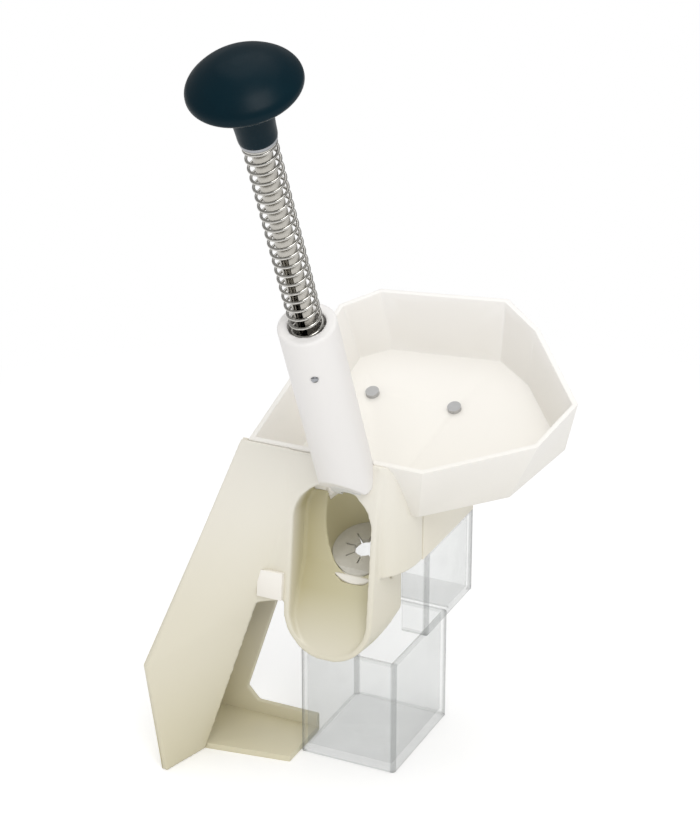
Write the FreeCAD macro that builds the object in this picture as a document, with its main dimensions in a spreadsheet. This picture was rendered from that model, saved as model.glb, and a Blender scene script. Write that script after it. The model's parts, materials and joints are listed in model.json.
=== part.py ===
"""Counter-top cherry pitter: a spring-loaded push plunger in a leaning guide tube,
a fruit hopper behind it, an open chute in front and a pit container below.

Millimetres. X runs to the right, Y to the back, Z up. The origin is on the surface the
pitter stands on, under the middle of the pit container.
"""
import FreeCAD, Part
import math
import os
import Sketcher
from FreeCAD import Placement, Rotation, Vector

doc = FreeCAD.newDocument("cherry_pitter")

# Driving dimensions

SIZES = {
    # Where the leaning parts start
    "tilt": 24,                  # lean of the plunger axis towards the front
    "head_y": -24.5,             # foot of the guide tube, on the plunger axis
    "head_z": 121.5,
    "lean": 6.6,                 # lean of the flat front face
    "front_y": -25,              # top edge of the flat front face
    "front_z": 130,
    # Guide tube and plunger
    "tube_radius": 10.8,
    "tube_bore": 6.9,
    "tube_length": 83,
    "spring_pocket": 15,
    "mouth_round": 0.8,
    "rod_radius": 3.6,
    "rod_bore": 2.4,
    "rod_fit": 0.06,
    "rod_bottom": 6,
    "stroke": 50,
    "upper_bush_length": 16,
    "stripper_reach": 8,
    "stripper_depth": 12,
    "pin_radius": 1.2,
    "pin_place": 2.5,            # from the top of the upper bush down to the pin
    "pin_proud": 0.3,
    "pin_reach": 1.3,            # how far the pin enters the rod
    "slot_gap": 0.3,
    "blade_radius": 3.3,
    "blade_thickness": 1.1,
    "blade_length": 12,
    "blade_point": 3.2,
    "blade_tip": 0.5,
    "washer_radius": 6.5,
    "washer_thickness": 1,
    "washer_gap": 0.35,
    "wire_radius": 0.55,
    "spring_radius": 5.7,
    "spring_pitch": 5.2,
    # Knob
    "neck_bottom": 168.5,
    "neck_radius": 6.8,
    "neck_top_radius": 8.7,
    "neck_height": 19.5,
    "cap_radius": 19.8,
    "cap_band": 4.2,
    "dome_height": 8.8,
    "cap_round": 2.0,
    "band_round": 1.6,
    "insert_radius": 5.2,
    "insert_length": 19.5,
    # Hopper, in the frame that leans with the tube
    "hopper_top": 8,
    "hopper_depth": 26,
    "hopper_front": 4,
    "hopper_wall": 2,
    "window_half": 13.5,
    "window_height": 20,
    "rim_a_x": -42, "rim_a_v": 4, "floor_a_x": -36, "floor_a_v": 4,
    "rim_b_x": 30, "rim_b_v": 4, "floor_b_x": 24, "floor_b_v": 4,
    "rim_c_x": 67, "rim_c_v": 27, "floor_c_x": 54, "floor_c_v": 22,
    "rim_d_x": 74, "rim_d_v": 51, "floor_d_x": 66, "floor_d_v": 50,
    "rim_e_x": 46, "rim_e_v": 85, "floor_e_x": 42, "floor_e_v": 78,
    "rim_f_x": 28, "rim_f_v": 98, "floor_f_x": 26, "floor_f_v": 88,
    "rim_g_x": -24, "rim_g_v": 92, "floor_g_x": -20, "floor_g_v": 84,
    "rim_k_x": -37, "rim_k_v": 80, "floor_k_x": -32, "floor_k_v": 76,
    # Pitting head with its open chute
    "chute_x": -5.3,
    "chute_radius": 18.6,
    "chute_wall": 2.4,
    "chute_depth": 11.5,
    "arch_z": 103.2,
    "scoop_top": 84,
    "head_back": -4,
    # Pitting chamber and seat
    "chamber_bore": 12.9,
    "chamber_wall": 2.3,
    "chamber_bottom": -40,
    "seat_thickness": 2,
    "seat_gap": 0.1,
    "seat_hole": 4.2,
    "slit_width": 0.6,
    "slit_radius": 8.2,
    "slit_count": 8,
    "retainer_thickness": 2.4,
    "pit_hole": 8.6,
    "seam": 0.1,                 # gap where a round piece passes through another
    # Screws
    "screw_radius": 0.8,
    "screw_length": 9,
    "screw_head": 1.2,
    "screw_head_height": 1.2,
    "post_radius": 3.5,
    "post_length": 14,
    "post_x": 17.5,
    "post_v": 58,
    "floor_screw_radius": 1.4,
    "floor_screw_length": 12,
    "floor_screw_head": 2.7,
    "floor_screw_head_height": 1.6,
    # Housing and clear guard
    "housing_half": 22,
    "housing_wall": 2.2,
    "housing_back": 45,
    "housing_bottom": 84,
    "guard_wall": 1.6,
    "guard_front": 0.7,
    "guard_gap_half": 11,
    # Pit container
    "container_width": 40.4,
    "container_depth": 50.6,
    "container_height": 47.8,
    "container_wall": 2,
    "container_base": 3,
    "container_round": 1.6,
    "slide_gap": 0.5,
    # Front panel with its folded leg
    "panel_thickness": 2.6,
    "panel_left": -45,
    "crease_top": -15.6,
    "crease_low_x": -35,
    "crease_low_z": 66,
    "panel_low_z": 69.5,
    "knee_x": -67.8, "knee_y": -63, "knee_z": 45,
    "toe_x": -60.6, "toe_y": -61.3,
    "heel_x": -55, "heel_y": -39.7,
    "bar_left": -34.4,
    "bar_bottom": 69.8,
    "bar_height": 11,
    "bar_proud": 2,
    # Rear panel, side wall and foot
    "rear_y": -10,
    "rear_thickness": 2.4,
    "rear_left": -66,
    "rear_foot_height": 8,
    "rear_foot_left": -47,
    "rear_knee_x": -51.8,
    "rear_knee_z": 13.3,
    "rear_notch_z": 99,
    "rear_top_z": 108,
    "rear_top_left": -46,
    "side_wall": 2.2,
    "foot_thickness": 2.5,
    "foot_front_y": -34.7,
    "foot_gap": 0.3,
    "pad_radius": 4,
    "pad_thickness": 1,
}

sheet = doc.addObject("Spreadsheet::Sheet", "dims")
for row, (name, value) in enumerate(SIZES.items(), start=1):
    sheet.set("A%d" % row, name)
    sheet.set("B%d" % row, str(value))
    sheet.setAlias("B%d" % row, name)
doc.recompute()

X_AXIS = Vector(1, 0, 0)


def worth(expression):
    """Number that an expression of sheet sizes stands for."""
    return float(sheet.evalExpression(expression.replace("dims.", "")))


def set_place(obj, y, z, x="0", angle="0"):
    """Bind an object's Placement: a place, and a turn about X."""
    obj.Placement = Placement(Vector(), Rotation(X_AXIS, 1))
    obj.setExpression(".Placement.Rotation.Angle", angle)
    obj.setExpression(".Placement.Base.x", x)
    obj.setExpression(".Placement.Base.y", y)
    obj.setExpression(".Placement.Base.z", z)
    return obj


def lean_with_tube(obj, x="0", v="0", w="0"):
    """Place an object in the tube's frame: v backwards, w up the plunger axis."""
    y = "dims.head_y + (%s) * cos(dims.tilt) - (%s) * sin(dims.tilt)" % (v, w)
    z = "dims.head_z + (%s) * sin(dims.tilt) + (%s) * cos(dims.tilt)" % (v, w)
    return set_place(obj, y, z, x, "dims.tilt")


def lean_with_face(obj, x="0", a="0", b="0", quarter=False):
    """Place an object on the flat front face: a into it, b up along it."""
    y = "dims.front_y + (%s) * cos(dims.lean) + (%s) * sin(dims.lean)" % (a, b)
    z = "dims.front_z - (%s) * sin(dims.lean) + (%s) * cos(dims.lean)" % (a, b)
    angle = "-90 - dims.lean" if quarter else "-dims.lean"
    return set_place(obj, y, z, x, angle)


def stand(obj, x="0", y="0", z="0"):
    """Place an upright object."""
    return set_place(obj, y, z, x)


def box(name, length, width, height):
    obj = doc.addObject("Part::Box", name)
    obj.setExpression("Length", length)
    obj.setExpression("Width", width)
    obj.setExpression("Height", height)
    return obj


def cylinder(name, radius, height):
    obj = doc.addObject("Part::Cylinder", name)
    obj.setExpression("Radius", radius)
    obj.setExpression("Height", height)
    return obj


def fuse(name, pieces):
    obj = doc.addObject("Part::MultiFuse", name)
    obj.Shapes = pieces
    return obj


def cut(name, base, tools):
    """Base with every tool cut away."""
    tool = tools[0] if len(tools) == 1 else fuse(name + "_tools", tools)
    obj = doc.addObject("Part::Cut", name)
    obj.Base = base
    obj.Tool = tool
    return obj


def common(name, base, tool):
    obj = doc.addObject("Part::Common", name)
    obj.Base = base
    obj.Tool = tool
    return obj


def origin_plane(body, role):
    return [f for f in body.Origin.OriginFeatures if f.Role == role][0]


def profile(body, name, corners, role="XY_Plane"):
    """Closed sketch of straight edges; each corner is a pair of expressions."""
    sketch = body.newObject("Sketcher::SketchObject", name)
    sketch.AttachmentSupport = [(origin_plane(body, role), "")]
    sketch.MapMode = "FlatFace"
    points = [Vector(worth(x), worth(y), 0) for x, y in corners]
    count = len(points)
    for i in range(count):
        sketch.addGeometry(Part.LineSegment(points[i], points[(i + 1) % count]), False)
    for i in range(count):
        sketch.addConstraint(Sketcher.Constraint("Coincident", i, 2, (i + 1) % count, 1))
    for i, (x, y) in enumerate(corners):
        for kind, expression, number in (("DistanceX", x, points[i].x), ("DistanceY", y, points[i].y)):
            index = sketch.addConstraint(Sketcher.Constraint(kind, -1, 1, i, 1, number))
            sketch.setExpression("Constraints[%d]" % index, expression)
    return sketch


def ring_sketch(body, name, radius, role="XY_Plane"):
    """Circle about the body's own axis."""
    sketch = body.newObject("Sketcher::SketchObject", name)
    sketch.AttachmentSupport = [(origin_plane(body, role), "")]
    sketch.MapMode = "FlatFace"
    sketch.addGeometry(Part.Circle(Vector(), Vector(0, 0, 1), worth(radius)), False)
    sketch.addConstraint(Sketcher.Constraint("Coincident", 0, 3, -1, 1))
    index = sketch.addConstraint(Sketcher.Constraint("Radius", 0, worth(radius)))
    sketch.setExpression("Constraints[%d]" % index, radius)
    return sketch


def pad(body, name, sketch, length, reverse=False):
    feature = body.newObject("PartDesign::Pad", name)
    feature.Profile = sketch
    feature.Reversed = reverse
    feature.setExpression("Length", length)
    return feature


def pocket(body, name, sketch, length, reverse=False, both=False):
    feature = body.newObject("PartDesign::Pocket", name)
    feature.Profile = sketch
    feature.Reversed = reverse
    feature.Midplane = both
    feature.setExpression("Length", length)
    return feature


def face_y(z):
    """Y of the flat front face at a height."""
    return worth("front_y") - math.tan(math.radians(worth("lean"))) * (worth("front_z") - z)


def polygon(points):
    return Part.makePolygon(points + [points[0]])


def outward(solid):
    """The same solid with its faces turned outwards."""
    if solid.Volume < 0:
        solid.reverse()
    return solid


def solid_loft(sections):
    """Straight-sided solid through closed sections."""
    return outward(Part.Solid(Part.makeLoft(sections, True, True).Shells[0]))


# Places that several pieces share, as expressions of the sizes

BUSH_TOP = "dims.tube_length - dims.spring_pocket"
PIN_W = "dims.tube_length - dims.spring_pocket - dims.pin_place"
SPRING_FOOT = BUSH_TOP + " + dims.washer_thickness"
CAP_FOOT = "dims.neck_bottom - dims.washer_thickness"
HOPPER_BASE = "dims.hopper_top - dims.hopper_depth"
CHAMBER_RADIUS = "dims.chamber_bore + dims.chamber_wall"
CHUTE_INNER = "dims.chute_radius - dims.chute_wall"
LIP_Z = "dims.container_height + dims.slide_gap"
ROUND_B = "(%s - dims.front_z) / cos(dims.lean) + dims.chute_radius" % LIP_Z
ARCH_B = "(dims.arch_z - dims.front_z) / cos(dims.lean)"
HEAD_LEFT = "dims.chute_x - dims.chute_radius"
WIDE = "(2 * (dims.housing_back + dims.container_depth))"
nodes = []


def finish_node(obj, name):
    """Name a sub-part and keep it for the file list."""
    obj.Label = name
    nodes.append(obj)
    return obj


# Guide tube: a pad, a through bore and a cross hole for the stop pin

tube = doc.addObject("PartDesign::Body", "tube_body")
tube_pad = pad(tube, "tube_pad", ring_sketch(tube, "tube_ring", "dims.tube_radius"), "dims.tube_length")
tube_bore = pocket(tube, "tube_bore", ring_sketch(tube, "bore_ring", "dims.tube_bore"),
                   "dims.tube_length", reverse=True)
pin_sketch = tube.newObject("Sketcher::SketchObject", "pin_hole_ring")
pin_sketch.AttachmentSupport = [(origin_plane(tube, "XZ_Plane"), "")]
pin_sketch.MapMode = "FlatFace"
pin_sketch.addGeometry(Part.Circle(Vector(0, worth(PIN_W), 0), Vector(0, 0, 1), worth("pin_radius")), False)
pin_sketch.addConstraint(Sketcher.Constraint("PointOnObject", 0, 3, -2))
row = pin_sketch.addConstraint(Sketcher.Constraint("DistanceY", -1, 1, 0, 3, worth(PIN_W)))
pin_sketch.setExpression("Constraints[%d]" % row, PIN_W)
row = pin_sketch.addConstraint(Sketcher.Constraint("Radius", 0, worth("pin_radius")))
pin_sketch.setExpression("Constraints[%d]" % row, "dims.pin_radius")
pin_hole = pocket(tube, "pin_hole", pin_sketch, "dims.tube_radius + dims.pin_proud", reverse=True)
doc.recompute()
mouth_edges = []
for index, edge in enumerate(pin_hole.Shape.Edges, start=1):
    level = edge.BoundBox.ZMin > worth("tube_length") - 0.01
    if level and edge.BoundBox.XMax > worth("tube_bore") + 0.01:
        mouth_edges.append("Edge%d" % index)
mouth = tube.newObject("PartDesign::Fillet", "tube_mouth")
mouth.Base = (pin_hole, mouth_edges)
mouth.setExpression("Radius", "dims.mouth_round")
lean_with_tube(tube)
finish_node(tube, "guide_tube")


# Guide bushes in the tube

def bush(name, bottom, length, extra):
    """Sleeve between the tube's bore and the rod."""
    shell = lean_with_tube(cylinder(name + "_shell", "dims.tube_bore", length), w=bottom)
    bore = lean_with_tube(cylinder(name + "_bore", "dims.rod_radius + dims.rod_fit", length), w=bottom)
    return finish_node(cut(name + "_cut", shell, [bore] + extra), name)


def cross_pin(name, inner, outer):
    """Rod across the front of the tube at the pin's height."""
    pin = cylinder(name, "dims.pin_radius", "(%s) - (%s)" % (outer, inner))
    y = "dims.head_y - (%s) * cos(dims.tilt) - (%s) * sin(dims.tilt)" % (inner, PIN_W)
    z = "dims.head_z - (%s) * sin(dims.tilt) + (%s) * cos(dims.tilt)" % (inner, PIN_W)
    return set_place(pin, y, z, "0", "90 + dims.tilt")


pin_tool = cross_pin("pin_tool", "0", "dims.tube_radius")
bush("upper_bush", BUSH_TOP + " - dims.upper_bush_length", "dims.upper_bush_length", [pin_tool])
bush("stripper_bush", "-dims.stripper_reach", "dims.stripper_reach + dims.stripper_depth", [])
stop_pin = cross_pin("stop_pin_rod", "dims.rod_radius - dims.pin_reach", "dims.tube_radius + dims.pin_proud")
finish_node(stop_pin, "stop_pin")


# Spring between two washers

def washer(name, bottom, bore):
    disc = lean_with_tube(cylinder(name + "_disc", "dims.washer_radius", "dims.washer_thickness"), w=bottom)
    hole = lean_with_tube(cylinder(name + "_hole", bore, "dims.washer_thickness"), w=bottom)
    return finish_node(cut(name + "_cut", disc, [hole]), name)


washer("spring_washer", BUSH_TOP, "dims.rod_radius + dims.washer_gap")
washer("spring_cap", CAP_FOOT, "dims.rod_radius")

coil = doc.addObject("Part::Helix", "spring_line")
coil.setExpression("Pitch", "dims.spring_pitch")
coil.setExpression("Height", "%s - (%s) - 2 * dims.wire_radius" % (CAP_FOOT, SPRING_FOOT))
coil.setExpression("Radius", "dims.spring_radius")
wire = doc.addObject("Part::Circle", "spring_wire")
wire.setExpression("Radius", "dims.wire_radius")
wire.Placement = Placement(Vector(), Rotation(X_AXIS, 90))
wire.setExpression(".Placement.Base.x", "dims.spring_radius")
spring = doc.addObject("Part::Sweep", "spring_sweep")
spring.Sections = [wire]
spring.Spine = (coil, [])
spring.Solid = True
spring.Frenet = True
lean_with_tube(spring, w=SPRING_FOOT + " + dims.wire_radius")
finish_node(spring, "return_spring")


# Plunger: hollow rod with a slot for the stop pin, a cross blade, and the knob

rod_shell = lean_with_tube(
    cylinder("rod_shell", "dims.rod_radius", "dims.neck_bottom + dims.insert_length - dims.rod_bottom"),
    w="dims.rod_bottom")
rod_hollow = lean_with_tube(
    cylinder("rod_hollow", "dims.rod_bore", "dims.neck_bottom + dims.insert_length - dims.rod_bottom"),
    w="dims.rod_bottom")
SLOT_WIDTH = "2 * (dims.pin_radius + dims.slot_gap)"
rod_slot = lean_with_tube(
    box("rod_slot", SLOT_WIDTH, "dims.rod_radius", "dims.stroke + %s" % SLOT_WIDTH),
    x="-dims.pin_radius - dims.slot_gap",
    v="-2 * dims.rod_radius + dims.pin_reach + dims.slot_gap",
    w="%s - dims.pin_radius - dims.slot_gap" % PIN_W)
finish_node(cut("rod_cut", rod_shell, [rod_hollow, rod_slot]), "plunger_rod")

BLADE_FOOT = "dims.rod_bottom - dims.blade_length"
blade_sides = []
for name, length, width in (("fin_across", "2 * dims.blade_radius", "dims.blade_thickness"),
                            ("fin_along", "dims.blade_thickness", "2 * dims.blade_radius")):
    fin = box(name, length, width, "dims.blade_length")
    blade_sides.append(lean_with_tube(fin, x="-(%s) / 2" % length, v="-(%s) / 2" % width, w=BLADE_FOOT))
blade_core = lean_with_tube(
    cylinder("blade_core", "dims.blade_radius", "dims.blade_length - dims.blade_point"),
    w="%s + dims.blade_point" % BLADE_FOOT)
blade_tip = doc.addObject("Part::Cone", "blade_tip_cone")
blade_tip.setExpression("Radius1", "dims.blade_tip")
blade_tip.setExpression("Radius2", "dims.blade_radius")
blade_tip.setExpression("Height", "dims.blade_point")
lean_with_tube(blade_tip, w=BLADE_FOOT)
blade = common("blade_form", fuse("blade_fins", blade_sides), fuse("blade_round", [blade_core, blade_tip]))
finish_node(blade, "pit_blade")

insert_shell = lean_with_tube(cylinder("insert_shell", "dims.insert_radius", "dims.insert_length"),
                              w="dims.neck_bottom")
insert_bore = lean_with_tube(cylinder("insert_bore", "dims.rod_radius", "dims.insert_length"),
                             w="dims.neck_bottom")
finish_node(cut("insert_cut", insert_shell, [insert_bore]), "knob_insert")

CAP_BOTTOM = "dims.neck_bottom + dims.neck_height"
DOME_RADIUS = ("(dims.cap_radius * dims.cap_radius + dims.dome_height * dims.dome_height)"
               " / (2 * dims.dome_height)")
neck = doc.addObject("Part::Cone", "knob_neck")
neck.setExpression("Radius1", "dims.neck_radius")
neck.setExpression("Radius2", "dims.neck_top_radius")
neck.setExpression("Height", "dims.neck_height")
lean_with_tube(neck, w="dims.neck_bottom")
cap_block = lean_with_tube(cylinder("cap_block", "dims.cap_radius", "dims.cap_band + dims.dome_height"),
                           w=CAP_BOTTOM)
dome = doc.addObject("Part::Sphere", "cap_dome")
dome.setExpression("Radius", DOME_RADIUS)
lean_with_tube(dome, w="%s + dims.cap_band + dims.dome_height - %s" % (CAP_BOTTOM, DOME_RADIUS))
cap_form = common("cap_form", cap_block, dome)
doc.recompute()
cap_edges = []
for index, edge in enumerate(cap_form.Shape.Edges, start=1):
    if edge.Closed and abs(edge.Length - 2 * math.pi * worth("cap_radius")) < 0.1:
        low = edge.BoundBox.Center.z < cap_form.Shape.BoundBox.Center.z
        rounding = worth("cap_round") if low else worth("band_round")
        cap_edges.append((index, rounding, rounding))
cap = doc.addObject("Part::Fillet", "cap_rounded")
cap.Base = cap_form
cap.Edges = cap_edges
knob_hole = lean_with_tube(cylinder("knob_hole", "dims.insert_radius", "dims.insert_length"),
                           w="dims.neck_bottom")
finish_node(cut("knob_cut", fuse("knob_form", [neck, cap]), [knob_hole]), "knob")


# Hopper: leaning walls between the rim and floor outlines, with the feed window

def outline(w, inset=0.0):
    """Wire of the hopper's plan at height w in the tube's frame, drawn in by inset."""
    corners = []
    for letter in "abcdefgk":
        rim = Vector(worth("rim_%s_x" % letter), worth("rim_%s_v" % letter), 0)
        low = Vector(worth("floor_%s_x" % letter), worth("floor_%s_v" % letter), 0)
        share = (w - worth("hopper_top") + worth("hopper_depth")) / worth("hopper_depth")
        corners.append(low + (rim - low) * share)
    wire = polygon(corners)
    if inset:
        wire = wire.makeOffset2D(-inset, 2)
    wire.translate(Vector(0, 0, w))
    return wire


rim_w = worth("hopper_top")
base_w = rim_w - worth("hopper_depth")
wall = worth("hopper_wall")
hopper_outside = solid_loft([outline(base_w), outline(rim_w)])
hopper_inside = solid_loft([outline(base_w + wall, wall), outline(rim_w, wall)])
hopper_tray = doc.addObject("Part::Feature", "hopper_tray")
hopper_tray.Shape = hopper_outside.cut(hopper_inside)
lean_with_tube(hopper_tray)
hopper_block = doc.addObject("Part::Feature", "hopper_block")
hopper_block.Shape = hopper_outside
lean_with_tube(hopper_block)
window = lean_with_tube(
    box("feed_window", "2 * dims.window_half", "2 * dims.hopper_wall", "dims.window_height"),
    x="-dims.window_half", v="dims.hopper_front - dims.hopper_wall / 2",
    w="%s + dims.hopper_wall" % HOPPER_BASE)
feed_hole = lean_with_tube(
    cylinder("feed_hole", "dims.chamber_bore", "4 * dims.hopper_wall"),
    w="%s - dims.hopper_wall" % HOPPER_BASE)
tube_notch = lean_with_tube(
    cylinder("tube_notch", "dims.tube_radius + dims.seam", "dims.tube_length"))


def floor_screw(name, side):
    """Shank, then head, of a screw through the hopper floor into a housing post."""
    x = "%s dims.post_x" % side
    top = "%s + dims.hopper_wall" % HOPPER_BASE
    shank = cylinder(name + "_shank", "dims.floor_screw_radius", "dims.floor_screw_length")
    lean_with_tube(shank, x=x, v="dims.post_v", w="%s - dims.floor_screw_length" % top)
    head = cylinder(name + "_head", "dims.floor_screw_head", "dims.floor_screw_head_height")
    lean_with_tube(head, x=x, v="dims.post_v", w=top)
    return [shank, head]


left_screw = floor_screw("left_floor_screw", "-")
right_screw = floor_screw("right_floor_screw", "+")
finish_node(cut("hopper_cut", hopper_tray, [window, feed_hole, tube_notch, left_screw[0], right_screw[0]]),
            "hopper")
finish_node(fuse("floor_screws", left_screw + right_screw), "hopper_screws")


# Pitting head: block behind the flat face, hollowed by the open chute

def stadium(name, radius, start, depth, top):
    """Round-bottomed prism behind the flat face."""
    slab = lean_with_face(box(name + "_slab", "2 * (%s)" % radius, depth, "%s - (%s)" % (top, ROUND_B)),
                          x="dims.chute_x - (%s)" % radius, a=start, b=ROUND_B)
    end = lean_with_face(cylinder(name + "_round", radius, depth),
                         x="dims.chute_x", a=start, b=ROUND_B, quarter=True)
    return [slab, end]


HEAD_DEPTH = "dims.head_back - dims.front_y + dims.chute_radius"
head_form = fuse("head_form", stadium("head", "dims.chute_radius", "0", HEAD_DEPTH, "0"))
behind_head = stand(box("behind_head", WIDE, WIDE, WIDE), x="-(%s) / 2" % WIDE, y="dims.head_back")
LIP_Y = "(dims.front_y - tan(dims.lean) * (dims.front_z - %s))" % LIP_Z
LIP_W = "(dims.head_y - %s) * sin(dims.tilt) + (%s - dims.head_z) * cos(dims.tilt)" % (LIP_Y, LIP_Z)
under_head = lean_with_tube(box("under_head", WIDE, WIDE, "dims.chute_radius"),
                            x="-(%s) / 2" % WIDE, v="-(%s) / 2" % WIDE, w="%s - dims.chute_radius" % LIP_W)
head_block = cut("head_block", head_form, [tube_notch, hopper_block, behind_head, under_head])

CHUTE_REACH = "dims.chute_depth + 2 * dims.chute_wall"
chute_form = fuse("chute_form", stadium("chute", CHUTE_INNER, "-2 * dims.chute_wall",
                                        CHUTE_REACH, ARCH_B)
                  + [lean_with_face(cylinder("chute_arch", CHUTE_INNER, CHUTE_REACH),
                                    x="dims.chute_x", a="-2 * dims.chute_wall", b=ARCH_B, quarter=True)])
SCOOP_B = "(dims.scoop_top - dims.front_z) / cos(dims.lean)"
LIP_B = "((%s) - (%s))" % (ROUND_B, CHUTE_INNER)
SCOOP_RISE = "(%s - %s)" % (SCOOP_B, LIP_B)
scoop_slope = box("scoop_slope", "2 * dims.chute_radius", "2 * dims.chute_radius", "2 * %s" % SCOOP_RISE)
set_place(scoop_slope, "dims.front_y + %s * sin(dims.lean)" % LIP_B,
          "dims.front_z + %s * cos(dims.lean)" % LIP_B, HEAD_LEFT,
          "-dims.lean * 1 deg - atan(dims.chute_depth / %s)" % SCOOP_RISE)
chute_space = cut("chute_space", chute_form, [scoop_slope])

bore_space = lean_with_tube(
    cylinder("bore_space", "dims.chamber_bore", "-dims.chamber_bottom - dims.chute_wall"),
    w="dims.chamber_bottom")
bush_space = lean_with_tube(
    cylinder("bush_space", "dims.tube_bore + dims.seam", "2 * dims.chute_wall"), w="-1.5 * dims.chute_wall")
CHAMBER_DROP = "-dims.chamber_bottom + dims.retainer_thickness + dims.screw_head_height"
chamber_space = lean_with_tube(
    cylinder("chamber_space", "%s + dims.seam" % CHAMBER_RADIUS, "%s + %s" % (CHAMBER_DROP, HOPPER_BASE)),
    w="-(%s)" % CHAMBER_DROP)
back_hollow = fuse("back_hollow", stadium("hollow", CHUTE_INNER, "dims.chute_depth + dims.chute_wall",
                                          HEAD_DEPTH, "0"))
hollow_limit = lean_with_tube(box("hollow_limit", WIDE, WIDE, WIDE), x="-(%s) / 2" % WIDE,
                              v="-(%s) / 2" % WIDE, w=HOPPER_BASE)
hollow_form = cut("hollow_form", back_hollow, [hollow_limit])
behind_chamber = lean_with_tube(
    box("behind_chamber", "2 * dims.chute_wall", CHAMBER_RADIUS, "%s + %s" % (CHAMBER_DROP, HOPPER_BASE)),
    x="dims.chute_x + %s" % CHUTE_INNER, w="-(%s)" % CHAMBER_DROP)
finish_node(cut("head_cut", head_block, [chute_space, bore_space, bush_space, chamber_space, hollow_form,
                                         behind_chamber]), "pitting_head")


# Pitting chamber: the cup under the hopper floor, its rubber seat and the retainer below

seat_disc = lean_with_tube(cylinder("seat_disc", "dims.chamber_bore - dims.seat_gap", "dims.seat_thickness"),
                           w="dims.chamber_bottom")
seat_center = lean_with_tube(cylinder("seat_center", "dims.seat_hole", "dims.seat_thickness"),
                             w="dims.chamber_bottom")
slits = []
for number in range(int(worth("slit_count")) // 2):
    slit = box("seat_slit_%d" % number, "2 * dims.slit_radius", "dims.slit_width", "dims.seat_thickness")
    slit.Placement = Placement(Vector(), Rotation(X_AXIS, 0))
    slit.setExpression(".Placement.Base.x", "-dims.slit_radius")
    slit.setExpression(".Placement.Base.y", "-dims.slit_width / 2")
    holder = doc.addObject("Part::Compound", "slit_turn_%d" % number)
    holder.Links = [slit]
    holder.Placement = Placement(Vector(), Rotation(Vector(0, 0, 1), number * 360 / worth("slit_count")))
    slits.append(holder)
slit_star = fuse("slit_star", slits)
lean_with_tube(slit_star, w="dims.chamber_bottom")
finish_node(cut("seat_cut", seat_disc, [seat_center, slit_star, chute_space]),
            "seat_ring")

RETAINER_W = "dims.chamber_bottom - dims.retainer_thickness"
retainer_disc = lean_with_tube(cylinder("retainer_disc", CHAMBER_RADIUS, "dims.retainer_thickness"),
                               w=RETAINER_W)
retainer_hole = lean_with_tube(cylinder("retainer_hole", "dims.pit_hole", "dims.retainer_thickness"),
                               w=RETAINER_W)
SCREW_RING = "(dims.chamber_bore + dims.chamber_wall / 2)"
shanks = []
heads = []
for name, across, along in (("left", "-%s" % SCREW_RING, "0"), ("right", SCREW_RING, "0"),
                            ("back", "0", SCREW_RING)):
    shank = cylinder(name + "_seat_screw_shank", "dims.screw_radius", "dims.screw_length")
    shanks.append(lean_with_tube(shank, x=across, v=along, w=RETAINER_W))
    head = cylinder(name + "_seat_screw_head", "dims.screw_head", "dims.screw_head_height")
    heads.append(lean_with_tube(head, x=across, v=along, w="%s - dims.screw_head_height" % RETAINER_W))
screw_holes = fuse("seat_screw_holes", shanks)
finish_node(cut("retainer_cut", retainer_disc, [retainer_hole, screw_holes,
                                                chute_space]), "seat_retainer")
chamber_shell = lean_with_tube(
    cylinder("chamber_shell", CHAMBER_RADIUS, "%s - dims.chamber_bottom" % HOPPER_BASE),
    w="dims.chamber_bottom")
finish_node(cut("chamber_cut", chamber_shell, [bore_space, chute_space, screw_holes]), "pitting_chamber")
finish_node(fuse("seat_screws", shanks + heads), "retainer_screws")
chamber = nodes[[obj.Label for obj in nodes].index("pitting_chamber")]
chamber.Tool.Shapes = chamber.Tool.Shapes + [screw_holes]


# Housing under the hopper, and the clear guard below it

HOUSING_TOP = "dims.front_z + dims.housing_half"


def shell_box(name, half, front, back, low, high):
    """Upright block between two Y places, as wide as twice half."""
    block = box(name, "2 * (%s)" % half, "(%s) - (%s)" % (back, front), "(%s) - (%s)" % (high, low))
    return stand(block, x="-(%s)" % half, y=front, z=low)


housing_block = shell_box("housing_block", "dims.housing_half", "dims.head_back", "dims.housing_back",
                          "dims.housing_bottom", HOUSING_TOP)
housing_space = shell_box("housing_space", "dims.housing_half - dims.housing_wall",
                          "dims.head_back + dims.housing_wall", "dims.housing_back - dims.housing_wall",
                          "dims.housing_bottom - dims.housing_wall", HOUSING_TOP)
posts = []
for name, side in (("left", "-"), ("right", "+")):
    post = lean_with_tube(cylinder(name + "_post", "dims.post_radius", "dims.post_length + dims.hopper_wall"),
                          x="%s dims.post_x" % side, v="dims.post_v", w="%s - dims.post_length" % HOPPER_BASE)
    posts.append(post)
post_limit = shell_box("post_limit", "dims.housing_half", "dims.head_back", "dims.housing_back",
                       "dims.housing_bottom", HOUSING_TOP)
housing_posts = common("housing_posts", fuse("post_pair", posts), post_limit)
housing_form = fuse("housing_form", [cut("housing_skirt", housing_block, [housing_space]), housing_posts])
above_floor = lean_with_tube(box("above_floor", WIDE, WIDE, WIDE), x="-(%s) / 2" % WIDE,
                             v="-(%s) / 2" % WIDE, w=HOPPER_BASE)
housing_holes = [left_screw[0], right_screw[0]]
finish_node(cut("housing_cut", housing_form,
                [above_floor, chamber_space] + housing_holes),
            "chamber_housing")

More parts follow.
